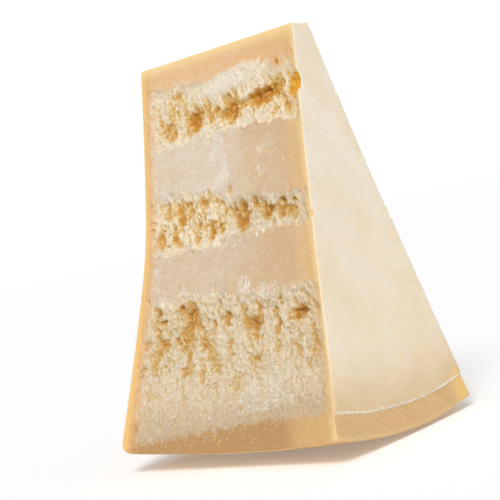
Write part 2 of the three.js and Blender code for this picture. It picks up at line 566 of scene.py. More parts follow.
    def clefts(self, spots: Spots, far_in: Numbers, crag: Numbers, flake: Numbers) -> Numbers:
        """How deep the face is split: between its crags, in its slots and in its crevices.

        Args:
            spots: the places.
            far_in: millimetres inside a rough band's edge.
            crag: the crags' strength.
            flake: the share of a flake that lies there.

        Returns:
            The depth at each place.
        """
        crags = noise(spots.slanted / self.crag_width, spots.bent_y / self.crag_length, self.seed + 1)
        slots = np.zeros_like(spots.x)
        for n, (wide, long, share) in enumerate(self.slots):
            slots += share * noise(spots.slanted / wide, spots.bent_y / long, self.seed + 4 + n)
        deep = crag * self.crag_kept * self.crag_depth * smoothstep(crags, *self.crag_span)
        deep = deep + crag * self.slot_depth * smoothstep(slots, *self.slot_span)
        return np.maximum(deep * (1.0 - self.flake_calm[0] * flake), self.torn_open(spots, far_in))

    def crumbs(
        self, spots: Spots, keen: Numbers, flake: Numbers, broken: Numbers
    ) -> tuple[Numbers, Numbers, Numbers]:
        """Breaks rough paste up into lumps and grains.

        Args:
            spots: the places.
            keen: the crags' strength, up to 1.
            flake: the share of a flake that lies there.
            broken: how broken the paste is.

        Returns:
            The creases' depth, and how far down between grains and between small lumps a place is.
        """
        crease, gap, crack = np.zeros_like(spots.x), np.zeros_like(spots.x), np.zeros_like(spots.x)
        for n, (wide, long, depth, kept) in enumerate(self.lumps):
            crack = clods(spots.slanted / wide, spots.bent_y / long, self.seed + 41 + n)
            crease += depth * crack * lerp(kept, 1.0, keen) * (1.0 - self.flake_calm[1] * flake) * broken
        for n, (size, depth, kept) in enumerate(self.grain):
            long = self.grain_length * size
            low = grains(spots.slanted / size, spots.bent_y / long, self.seed + 61 + n)
            crease += depth * low * lerp(kept, 1.0, keen) * (1.0 - self.flake_calm[2] * flake) * broken
            gap += low / len(self.grain)
        return crease, gap, crack

    def bloom(self, spots: Spots, far_in: Numbers, rough: Numbers, keen: Numbers) -> Numbers:
        """How much white, dried bloom lies on the face.

        Args:
            spots: the places.
            far_in: millimetres inside a rough band's edge.
            rough: how rough the place is.
            keen: the crags' strength, up to 1.

        Returns:
            The bloom at each place, from 0 to about 1.
        """
        size, strength = self.frost_grain
        speckle = strength * (noise(spots.x / size, spots.y / size, self.seed + 71) - 0.5)
        blotch = noise(spots.x / self.fringe_blotch, spots.y / self.fringe_blotch, self.seed + 72)
        fringe = self.fringe_share * smoothstep(far_in, *self.fringe_zone) * (1.0 - rough)
        fringe *= smoothstep(spots.out, *self.fringe_end)
        fringe *= smoothstep(blotch, *self.fringe_span)
        fringe = fringe + self.meal_frost * rough * (1.0 - keen) ** 2
        frost = np.maximum(self.most(self.frosted, spots), fringe)
        return (frost + speckle) * spots.sound

    def relief(self, across: Numbers, out: Numbers) -> Relief:
        """Works out the face's relief.

        Args:
            across: places from the cut face to the flat rind.
            out: places out from the centre, in wheel radii.

        Returns:
            The depths and shares at each place.
        """
        spots = self.spots(across, out)
        x, y, sound, nothing = spots.x, spots.y, spots.sound, np.zeros_like(across)
        bent = (spots.across_bent, spots.out_bent, self.wheel)
        far_in, crag = self.inside(across, out)
        for n, (reach, wide, long) in enumerate(self.ragged):
            far_in = far_in + reach * (noise(spots.slanted / wide, y / long, self.seed + 31 + n) - 0.5)
        strength = np.clip(crag, 0.0, 1.0)
        edge = lerp(*self.edge_width, np.clip(3.0 * crag, 0.0, 1.0))
        calm = sum((place.share(*bent) for place in self.calm), nothing)
        rough = smoothstep(far_in / edge, *self.edge_span) * sound * (1.0 - self.calm_share * calm)
        crag = crag * smoothstep(far_in, *self.crag_rise) * sound * (1.0 - calm)
        keen = np.clip(crag, 0.0, 1.0)

        flake = sum((piece.share(*bent) for piece in self.flakes), nothing)
        rise = sum((piece.depth * piece.share(across, out, self.wheel) for piece in self.flakes), nothing)
        deep = self.clefts(spots, far_in, crag, flake)
        broken = np.maximum(rough, smoothstep(deep, *self.broken_span))
        crease, gap, crack = self.crumbs(spots, keen, flake, broken)
        # where highlights are painted: on the tops of the grains
        crest_highlight = smoothstep(gap, *self.crest_span) * broken * lerp(self.crest_kept, 1.0, keen)
        wide, long = self.nick_size
        nicks = smoothstep(noise(x / wide, y / long, self.seed + 51), *self.nick_span)
        nicks *= smoothstep(far_in, *self.nick_zone) * (1.0 - rough) * sound * self.nick_depth
        nicks = np.maximum(nicks, self.most(self.nicks, spots))
        frost = self.bloom(spots, far_in, rough, keen)

        waves = self.wave_depth * (noise(x / self.wave_size, y / self.wave_size, self.seed + 3) - 0.5)
        bulk = self.lump_depth * (noise(x / self.lump_size, y / self.lump_size, self.seed + 2) - 0.5)
        lip = self.lip_height * np.exp(-(((far_in - self.lip_place) / self.lip_width) ** 2))
        lip *= smoothstep(np.minimum(x, self.wheel.half_height - x), *self.lip_fade)
        powder = self.frost_height * np.clip(frost, 0.0, 1.0) * (gap - self.frost_level)
        depth = waves + rough * bulk + self.dip * deep + crease + nicks - rise - lip + powder
        # the hollow, which the colours turn into painted shade and warm bounced light
        hollow = self.deep_share * (deep + self.nick_share * nicks)
        hollow = hollow + self.gap_share * gap * broken * lerp(self.gap_kept, 1.0, keen)
        hollow = hollow + self.crack_share * smoothstep(crack, *self.crack_span) * keen * broken
        sunk = self.undercut * deep * sound
        return Relief(depth, sunk, deep, hollow, broken, strength, flake, frost, crest_highlight)


def front_split(wheel: Wheel) -> SplitFace:
    """The front split, with its bands and crevices where they show.

    Args:
        wheel: the wheel it was split from.

    Returns:
        The split face.
    """
    bands = (
        Band(start=(0.184, 0.105), end=(0.312, 0.245), crag=(0.6, 0.8)),
        Band(start=(0.475, 0.362), end=(0.548, 0.5), crag=(1.0, 0.9)),
        Band(start=(0.682, 0.603), end=(0.945, 0.945), crag=(1.1, 0.05)),
    )
    crevices = (
        Hollow(0.035, 0.237, 15, 16, 3.4, through=True),
        Hollow(0.03, 0.262, 6, 9, 2.4, through=True),
        Hollow(0.21, 0.233, 32, 13, 5.0),
        Hollow(0.325, 0.234, 40, 8, 2.4),
        Hollow(0.41, 0.235, 21, 17, 5.0),
        Hollow(0.5, 0.222, 12, 9, 3.2),
        Hollow(0.64, 0.216, 19, 19, 4.4),
        Hollow(0.735, 0.145, 9, 10, 3.0),
        Hollow(0.765, 0.18, 6, 7, 2.6),
        Hollow(0.83, 0.21, 11, 13, 3.2),
        Hollow(0.07, 0.286, 5, 8, 2.2),
        Hollow(0.145, 0.282, 4, 6, 1.9),
        Hollow(0.285, 0.283, 5, 6, 2.0),
        Hollow(0.387, 0.476, 9, 34, 4.6),
        Hollow(0.57, 0.408, 8, 12, 3.2, through=True),
        Hollow(0.44, 0.416, 4.5, 7, 2.4, through=True),
        Hollow(0.575, 0.488, 8, 23, 4.2),
        Hollow(0.77, 0.438, 6, 15, 3.0),
        Hollow(0.805, 0.476, 7, 12, 3.4),
        Hollow(0.902, 0.472, 8, 17, 3.6),
        Hollow(0.955, 0.43, 4.5, 15, 2.6),
        Hollow(0.665, 0.5, 6, 9, 2.8),
        Hollow(0.692, 0.432, 3.5, 9, 2.4),
        Hollow(0.893, 0.392, 4, 8, 2.2),
        Hollow(0.315, 0.448, 6, 16, 3.4),
        Hollow(0.275, 0.463, 5, 12, 3.0),
        Hollow(0.16, 0.505, 6, 12, 3.0),
        Hollow(0.1, 0.52, 4, 9, 2.6),
        Hollow(0.23, 0.488, 11, 9, 3.6),
        Hollow(0.205, 0.524, 3.5, 11, 2.6),
        Hollow(0.15, 0.482, 8, 7, 3.6),
        Hollow(0.1, 0.485, 4, 8, 3.0),
        Hollow(0.132, 0.722, 15, 13, 4.2),
        Hollow(0.225, 0.735, 4.5, 16, 3.0),
        Hollow(0.35, 0.722, 6.5, 26, 3.8),
        Hollow(0.415, 0.684, 4, 8, 2.4),
        Hollow(0.499, 0.696, 8, 12, 3.6),
        Hollow(0.565, 0.707, 5.5, 12, 3.2),
        Hollow(0.601, 0.688, 3.5, 7, 2.2),
        Hollow(0.715, 0.716, 6, 15, 3.0),
        Hollow(0.749, 0.651, 7, 10, 3.0, through=True),
        Hollow(0.695, 0.756, 6, 13, 3.0),
        Hollow(0.855, 0.668, 9, 7, 2.8),
        Hollow(0.93, 0.712, 8, 9, 3.0),
        Hollow(0.94, 0.768, 4.5, 17, 2.6),
        Hollow(0.715, 0.79, 8, 10, 2.6),
        Hollow(0.61, 0.81, 4, 9, 2.2),
        Hollow(0.345, 0.796, 7, 8, 2.4),
    )
    frosted = (
        Hollow(0.5, 0.3, 13, 12, 1.1),
        Hollow(0.53, 0.33, 16, 9, 0.8),
        Hollow(0.46, 0.35, 9, 12, 0.9),
        Hollow(0.48, 0.384, 15, 11, 1.1),
        Hollow(0.85, 0.38, 18, 30, 0.6),
        Hollow(0.44, 0.53, 26, 12, 0.6),
        Hollow(0.376, 0.637, 15, 13, 1.0),
        Hollow(0.25, 0.66, 26, 12, 0.7),
        Hollow(0.94, 0.32, 14, 34, 0.7),
        Hollow(0.3, 0.88, 60, 30, 0.6),
        Hollow(0.9, 0.57, 12, 40, 0.6),
        Hollow(0.2, 0.352, 30, 6, 0.6),
        Hollow(0.27, 0.401, 30, 7, 0.6),
        Hollow(0.42, 0.116, 36, 7, 0.55),
    )
    flake = Hollow(0.4, 0.168, 78, 17, 1.8)
    rows = (
        ((0.237, 0.357), (0.222, 0.358), (0.208, 0.356), (0.19, 0.359)),
        ((0.174, 0.36), (0.158, 0.361), (0.14, 0.363)),
        ((0.324, 0.406), (0.31, 0.409), (0.295, 0.408), (0.28, 0.411)),
        ((0.266, 0.409), (0.231, 0.407), (0.202, 0.407)),
        ((0.124, 0.415), (0.104, 0.4), (0.12, 0.392), (0.3, 0.395), (0.336, 0.399)),
    )  # of small nicks: where each is across and out
    nicks = [
        Hollow(across, out, 2.0 + 1.4 * float(draw(n, 1, 5)), 2.6 + 2.2 * float(draw(n, 2, 5)), 0.8)
        for n, (across, out) in enumerate(place for row in rows for place in row)
    ]
    nicks += [Hollow(0.115, 0.174, 3, 6.5, 2.2), Hollow(0.03, 0.172, 2.4, 5, 1.6)]
    nicks += [Hollow(0.0, 0.53, 4, 5, 1.6)]
    calm = (Hollow(0.1, 0.178, 30, 17, 1.0),)
    return SplitFace(wheel, 3, bands, crevices, (flake,), frosted, tuple(nicks), calm)


def rear_split(wheel: Wheel) -> SplitFace:
    """The rear split, which broke in the same way.

    Args:
        wheel: the wheel it was split from.

    Returns:
        The split face.
    """
    bands = (
        Band(start=(0.16, 0.2), end=(0.3, 0.33), crag=(0.9, 0.7)),
        Band(start=(0.43, 0.46), end=(0.6, 0.57), crag=(0.8, 1.0)),
        Band(start=(0.7, 0.74), end=(0.945, 0.945), crag=(1.0, 0.1)),
    )
    frosted = (
        Hollow(0.3, 0.37, 30, 24, 0.8),
        Hollow(0.7, 0.66, 34, 26, 0.7),
        Hollow(0.5, 0.87, 70, 26, 0.6),
    )
    face = SplitFace(wheel, 40, bands, frosted=frosted, edge_wear=0.45, cut_border=0.4)
    face.spread_crevices(8)
    return face


# Materials


def linear(code: str) -> tuple[float, float, float, float]:
    """Turns an sRGB hex colour to linear.

    Args:
        code: six hex digits after a #.

    Returns:
        Red, green, blue and an alpha of 1.
    """
    parts = [int(code[n : n + 2], 16) / 255 for n in (1, 3, 5)]
    red, green, blue = (p / 12.92 if p <= 0.04045 else ((p + 0.055) / 1.055) ** 2.4 for p in parts)
    return red, green, blue, 1.0


def add_node(
    tree: bpy.types.NodeTree,
    kind: str,
    inputs: dict[str | int, Any],
    output: str | int = 0,
    **settings: Any,
) -> bpy.types.NodeSocket:
    """Adds a node with its settings and links.

    Args:
        tree: the node tree that gets it.
        kind: the node's type, without its leading ShaderNode.
        inputs: for each input, the socket to link or the value to set.
        output: which output is wanted.
        **settings: the node's own properties.

    Returns:
        The wanted output.
    """
    node = tree.nodes.new("ShaderNode" + kind)
    for name, value in settings.items():
        setattr(node, name, value)
    for name, value in inputs.items():
        if isinstance(value, bpy.types.NodeSocket):
            tree.links.new(value, node.inputs[name])
        else:
            node.inputs[name].default_value = value
    return node.outputs[output] if len(node.outputs) else node.inputs[0]


EVEN = (1.0, 1.0, 1.0)
WHEEL_GRID, KNIFE_GRID = "wheel_place", "knife_place"


@dataclass(frozen=True)
class Coat:
    """A colour that covers the ones below it, where a number that the mesh carries says so."""

    colour: str
    strength: float = 1.0
    reads: str = ""  # the number's name, or none for everywhere
    span: tuple[float, float] = (0.0, 1.0)  # the number where the coat starts, and where it is full
    wander: float = 0.0  # how far the coat's edge strays, in the number's own unit
    bend: float = 5.0  # the size of a bend of that edge, in millimetres
    mottle: float = 0.0  # the size of the blotches that it breaks up into, or 0 for none
    mottle_span: tuple[float, float] = (0.42, 0.6)
    stretch: tuple[float, float, float] = EVEN
    grid: str = WHEEL_GRID


@dataclass(frozen=True)
class Tooth:
    """Relief too fine for the mesh: how wide and how high its bumps are, in millimetres."""

    size: float
    height: float
    reads: str = ""  # a share that the mesh carries, or none for everywhere
    stretch: tuple[float, float, float] = EVEN
    grid: str = WHEEL_GRID


@dataclass(frozen=True)
class Finish:
    """A surface of the cheese: a dense, fatty paste that light enters a little way."""

    name: str
    ground: str
    coats: tuple[Coat, ...]
    teeth: tuple[Tooth, ...]
    roughness: tuple[float, float] = (0.45, 0.65)
    dull_size: float = 2.5  # of the duller blotches
    ior: float = 1.45
    subsurface: float = 0.35
    scatter_reach: float = 2.4
    scatter_colour: tuple[float, float, float] = (1.0, 0.66, 0.36)

    def pattern(
        self,
        tree: bpy.types.NodeTree,
        size: float,
        stretch: tuple[float, float, float] = EVEN,
        grid: str = WHEEL_GRID,
    ) -> bpy.types.NodeSocket:
        """Draws soft blotches that keep their size in millimetres.

        Args:
            tree: the node tree.
            size: the size of a blotch.
            stretch: how much closer they stand along each axis of the grid.
            grid: the places that the mesh carries, which the blotches follow.

        Returns:
            Their strength, from 0 to 1.
        """
        place = add_node(tree, "Attribute", {}, "Vector", attribute_name=grid)
        if stretch != EVEN:
            place = add_node(tree, "VectorMath", {0: place, 1: stretch}, operation="MULTIPLY")
        return add_node(tree, "TexNoise", {"Vector": place, "Scale": 1 / size, "Detail": 3.0}, "Fac")

    def reading(self, tree: bpy.types.NodeTree, coat: Coat) -> bpy.types.NodeSocket:
        """Reads how much of a coat there is from the number that the mesh carries.

        Args:
            tree: the node tree.
            coat: the coat.

        Returns:
            The coat's part, from 0 to its strength.
        """
        number = add_node(tree, "Attribute", {}, "Fac", attribute_name=coat.reads)
        if coat.wander:
            bends = self.pattern(tree, coat.bend)
            ends = {"From Min": 0.2, "From Max": 0.8, "To Min": -coat.wander, "To Max": coat.wander}
            stray = add_node(tree, "MapRange", {"Value": bends, **ends})
            number = add_node(tree, "Math", {0: number, 1: stray}, operation="ADD")
        ends = {"From Min": coat.span[0], "From Max": coat.span[1], "To Max": coat.strength}
        return add_node(tree, "MapRange", {"Value": number, **ends}, interpolation_type="SMOOTHSTEP")

    def lay(
        self, tree: bpy.types.NodeTree, under: bpy.types.NodeSocket | tuple, coat: Coat
    ) -> bpy.types.NodeSocket:
        """Lays one coat over a colour.

        Args:
            tree: the node tree.
            under: the colour below.
            coat: the coat.

        Returns:
            The colour after it.
        """
        part = self.reading(tree, coat) if coat.reads else coat.strength
        if coat.mottle:
            blotch = self.pattern(tree, coat.mottle, coat.stretch, coat.grid)
            ends = {"From Min": coat.mottle_span[0], "From Max": coat.mottle_span[1]}
            blotch = add_node(tree, "MapRange", {"Value": blotch, **ends}, interpolation_type="SMOOTHSTEP")
            part = add_node(tree, "Math", {0: part, 1: blotch}, operation="MULTIPLY")
        return add_node(tree, "Mix", {0: part, 6: under, 7: linear(coat.colour)}, 2, data_type="RGBA")

    def build(self) -> bpy.types.Material:
        """Builds the material.

        Returns:
            The finished material.
        """
        material = bpy.data.materials.new(self.name)
        material.use_nodes = True
        tree = material.node_tree
        tree.nodes.clear()
        colour: bpy.types.NodeSocket | tuple = linear(self.ground)
        for coat in self.coats:
            colour = self.lay(tree, colour, coat)
        height: bpy.types.NodeSocket | float = 0.0
        for tooth in self.teeth:
            bump = self.pattern(tree, tooth.size, tooth.stretch, tooth.grid)
            bump = add_node(tree, "Math", {0: bump, 1: tooth.height}, operation="MULTIPLY")
            if tooth.reads:
                share = add_node(tree, "Attribute", {}, "Fac", attribute_name=tooth.reads)
                bump = add_node(tree, "Math", {0: bump, 1: share}, operation="MULTIPLY")
            height = add_node(tree, "Math", {0: bump, 1: height}, operation="ADD")
        normal = add_node(tree, "Bump", {"Height": height, "Distance": MM}, "Normal")
        ends = {"From Min": 0.3, "From Max": 0.7, "To Min": self.roughness[0], "To Max": self.roughness[1]}
        dull = add_node(tree, "MapRange", {"Value": self.pattern(tree, self.dull_size), **ends})
        shader = add_node(
            tree,
            "BsdfPrincipled",
            {
                "Base Color": colour,
                "Roughness": dull,
                "Normal": normal,
                "IOR": self.ior,
                "Subsurface Weight": self.subsurface,
                "Subsurface Radius": self.scatter_colour,
                "Subsurface Scale": self.scatter_reach * MM,
            },
        )
        add_node(tree, "OutputMaterial", {"Surface": shader})
        return material


# Paste that broke along its grain: creamy crumbs with golden creases, and smooth dry skin between the bands
SPLIT_PASTE = Finish(
    name="hard cheese paste, split open",
    ground="#E3D2BC",
    coats=(
        # Smooth dry skin: tanned towards the cut and the side, darker low down by the floor, partly as painted
        # shade, with specks as coarse as will show
        Coat("#C8AB84", 0.75, "from_cut", (75.0, 5.0), 22.0, 14.0),
        Coat("#CBAE86", 0.5, "from_side", (122.0, 96.0), 14.0, 20.0),
        Coat("#DABF99", 0.4, mottle=26.0, mottle_span=(0.45, 0.65)),
        Coat("#E4C48E", 0.9, "from_cut", (16.0, 5.0), 3.0, 6.0),
        Coat("#F3EADC", 0.18, mottle=2.4, mottle_span=(0.45, 0.7), stretch=(0.35, 1.0, 1.0)),
        Coat("#F6EEE2", 0.25, mottle=1.2, mottle_span=(0.5, 0.7)),
        Coat("#C49C6A", 0.25, mottle=1.7, mottle_span=(0.48, 0.7)),
        Coat("#A88252", 0.4, mottle=1.1, mottle_span=(0.58, 0.72)),
        Coat("#EABD88", 0.9, "from_tip", (27.0, 8.0), 6.0, 9.0),
        Coat("#DDA86C", 0.3, "from_cut", (62.0, 8.0), 14.0, 14.0),
        Coat("#D6AA70", 0.9, "from_side", (19.0, 11.0), 4.0, 4.0),
        # painted shade low on the face near the floor, mixed with the rind zone's own tan
        Coat("#B58A55", 0.8, "foot_shade_and_tan"),
        Coat("#F6EBD8", 0.2, mottle=1.1, mottle_span=(0.55, 0.7)),
        # Crumbs: cream, with painted highlights on their tops, and golden and darker where they lie deep, as
        # painted shade and warm bounced light
        Coat("#D2BC9C", 1.0, "rough", (0.1, 0.8), 0.4, 1.2),
        Coat("#EFDEC0", 1.0, "cream", (0.02, 0.4), 0.1, 3.0),
        Coat(
            "#CFA25F", 0.55, "rough", (0.2, 0.9),
            mottle=1.1, mottle_span=(0.52, 0.62), stretch=(1.0, 1.0, 0.5),
        ),
        # painted glints: white specks of highlight on the cream crumbs
        Coat(
            "#FFFAF0", 0.55, "cream", (0.2, 0.7),
            mottle=1.0, mottle_span=(0.53, 0.63), stretch=(1.0, 1.0, 0.6),
        ),
        # painted highlight on the tops of the grains
        Coat("#FBF1DC", 0.4, "crest_highlight", (0.2, 0.8), 0.3, 0.9),
        # painted shade and warm bounced light: golden, then darker, as the hollow deepens
        Coat("#E0B96E", 0.9, "hollow", (0.42, 0.85), 0.5, 1.0),
        Coat("#D39A38", 0.95, "hollow", (0.85, 1.35), 0.6, 1.0),
        Coat("#C7841C", 0.95, "hollow", (1.3, 1.9), 0.6, 1.0),
        Coat("#B67415", 0.35, "hollow", (2.0, 2.8), 0.5, 1.0),
        # painted highlight on the grains inside the hollows
        Coat("#F6E3B8", 0.3, "crest_highlight", (0.3, 0.9), 0.35, 0.9),
        # a darker coat over the rough paste low on the face and, near the cut, out past 76 mm
        Coat("#947448", 0.19, "rough_dimmed"),
        # The pale flake, and the white bloom where the paste dried
        Coat("#F3E8D4", 0.75, "flake", (0.3, 0.9), 0.3, 2.0),
        Coat("#EEE8DE", 0.85, "frost", (0.2, 0.95), mottle=1.1, mottle_span=(0.4, 0.62)),
        # Borders, worn glassy and yellow along the rind and the tip, and yellow along the cut, where the pale
        # line nearest the edge is partly painted highlight on the rounded edge
        Coat("#D8AF76", 0.45, "from_cut", (10.0, 3.0), 3.0, 2.4),
        # painted highlight: a thin pale line on the rounded cut edge, over the paste's own yellow there
        Coat("#F0D29C", 0.7, "from_cut", (5.0, 0.5), 0.8, 5.0),
        Coat("#DFB07A", 0.5, "from_rind", (13.5, 8.0), 3.0, 4.0, mottle=2.0, mottle_span=(0.36, 0.6)),
        Coat("#E6B676", 0.75, "from_rind", (9.0, 5.0), 1.5, 3.0),
        Coat("#F0C47C", 1.0, "from_rind", (5.0, 3.0), 0.8, 3.0),
        Coat("#F5DCAC", 0.8, "from_rind", (2.0, 0.2)),
        Coat("#F9DDA0", 0.85, "from_tip", (7.0, 0.3), 1.0, 6.0),
        # Thin paste beside the notch, which lets the light through
        Coat("#EDB01A", 0.85, "thin_edge", (0.1, 0.8), 0.3, 1.2),
        Coat("#E0921A", 0.5, "thin_edge", (0.5, 0.9), mottle=2.0),
    ),
    teeth=(Tooth(0.6, 0.14), Tooth(1.6, 0.3), Tooth(1.1, -0.9, "rough", (1.0, 1.0, 0.6))),
    scatter_reach=0.9,
)

# Paste that a wire cut clean: smooth, pale and faintly mottled, with specks of white crystals
CUT_PASTE = Finish(
    name="hard cheese paste, wire cut",
    ground="#FCEEDA",
    coats=(
        Coat("#F5E4C6", 0.8, "from_side", (150.0, 20.0), 30.0, 30.0),
        Coat("#EFDBB6", 0.4, mottle=24.0, mottle_span=(0.42, 0.68)),
        Coat("#FAF3E8", 0.3, mottle=7.0, mottle_span=(0.48, 0.7)),
        Coat("#E8D2AC", 0.25, mottle=1.6, mottle_span=(0.5, 0.7)),
        Coat("#E0C294", 0.8, "from_side", (40.0, 11.0), 6.0, 12.0),
        # Crystals, drawn at about twice their real size, since finer ones would not show
        Coat("#FFFBF2", 0.8, mottle=0.9, mottle_span=(0.66, 0.73)),
        # The scored band, darker, with the marks of the knife
        Coat("#DDB682", 1.0, "scored", (0.1, 0.9)),
        Coat(
            "#C99D60", 0.22, "scored",
            mottle=1.6, mottle_span=(0.46, 0.66), stretch=(0.08, 1.0, 1.0), grid=KNIFE_GRID,
        ),
        Coat(
            "#F0D6A6", 0.25, "scored",
            mottle=1.1, mottle_span=(0.5, 0.66), stretch=(0.1, 1.0, 1.0), grid=KNIFE_GRID,
        ),
        Coat("#E9CB95", 0.8, "from_side", (3.0, 0.4), 0.5, 2.0),
        Coat("#F4CE84", 0.9, "worn_corner"),
        Coat("#F3E4CA", 0.6, "score_lip", (0.3, 0.9), 0.7, 0.9),
    ),
    teeth=(Tooth(1.0, 0.08), Tooth(6.0, 0.16)),
    roughness=(0.5, 0.62),
)

# Crumbs of paste that a blunt knife tore up and that dried pale
BURR = Finish(
    name="hard cheese paste, torn and dried",
    ground="#FCF4E4",
    coats=(Coat("#E6CDA4", 0.7, mottle=0.9, mottle_span=(0.45, 0.62)),),
    teeth=(Tooth(0.5, 0.2),),
    scatter_reach=1.0,
)

# Rind that was salted in brine and dried for years: hard and waxy, amber with darker blotches
RIND = Finish(
    name="cheese rind, brined and aged",
    ground="#DDB06B",
    coats=(
        Coat("#E8C58C", 0.8, mottle=24.0, mottle_span=(0.4, 0.65)),
        Coat("#C08B4C", 0.45, mottle=9.0, mottle_span=(0.5, 0.75)),
        Coat("#A87437", 0.4, mottle=1.5, mottle_span=(0.6, 0.72)),
        Coat("#C79552", 0.4, mottle=1.4, mottle_span=(0.48, 0.64), stretch=(1.0, 0.06, 0.06)),
        Coat("#F0D5A2", 0.35, mottle=1.1, mottle_span=(0.55, 0.66), stretch=(1.0, 0.09, 0.09)),
    ),
    teeth=(Tooth(1.4, 0.25), Tooth(9.0, 0.6), Tooth(1.4, 0.35, stretch=(1.0, 0.06, 0.06))),
    roughness=(0.34, 0.56),
    subsurface=0.2,
)


# The wedge


def dress(
    name: str,
    points: Numbers,
    faces: list[list[int]],
    carried: dict[str, Numbers],
    finishes: tuple[Finish, ...],
) -> bpy.types.Object:
    """Makes a piece with its materials, and with the numbers that they read.

    Args:
        name: the piece's name.
        points: rows of X, Y and Z in millimetres.
        faces: the corners of each face.
        carried: the numbers, by name, with one value or one row for each point.
        finishes: its finishes, one to a slot.

    Returns:
        The piece.
    """
    mesh = bpy.data.meshes.new(name)
    mesh.from_pydata((points * MM).tolist(), [], faces)
    mesh.polygons.foreach_set("use_smooth", [True] * len(faces))
    for number, values in carried.items():
        kind, key = ("FLOAT_VECTOR", "vector") if values.ndim == 2 else ("FLOAT", "value")
        mesh.attributes.new(number, kind, "POINT").data.foreach_set(key, values.astype(np.float32).ravel())
    for finish in finishes:
        mesh.materials.append(finish.build())
    mesh.update()
    piece = bpy.data.objects.new(name, mesh)
    bpy.context.scene.collection.objects.link(piece)
    return piece


class Side(Enum):
    """The wedge's six sides, as the lattice's axis and end, and the material slot of each."""

    CUT = (0, 0, 1)
    FLAT_RIND = (0, -1, 2)
    TIP = (1, 0, 1)
    BARREL = (1, -1, 2)
    FRONT = (2, 0, 0)
    REAR = (2, -1, 0)


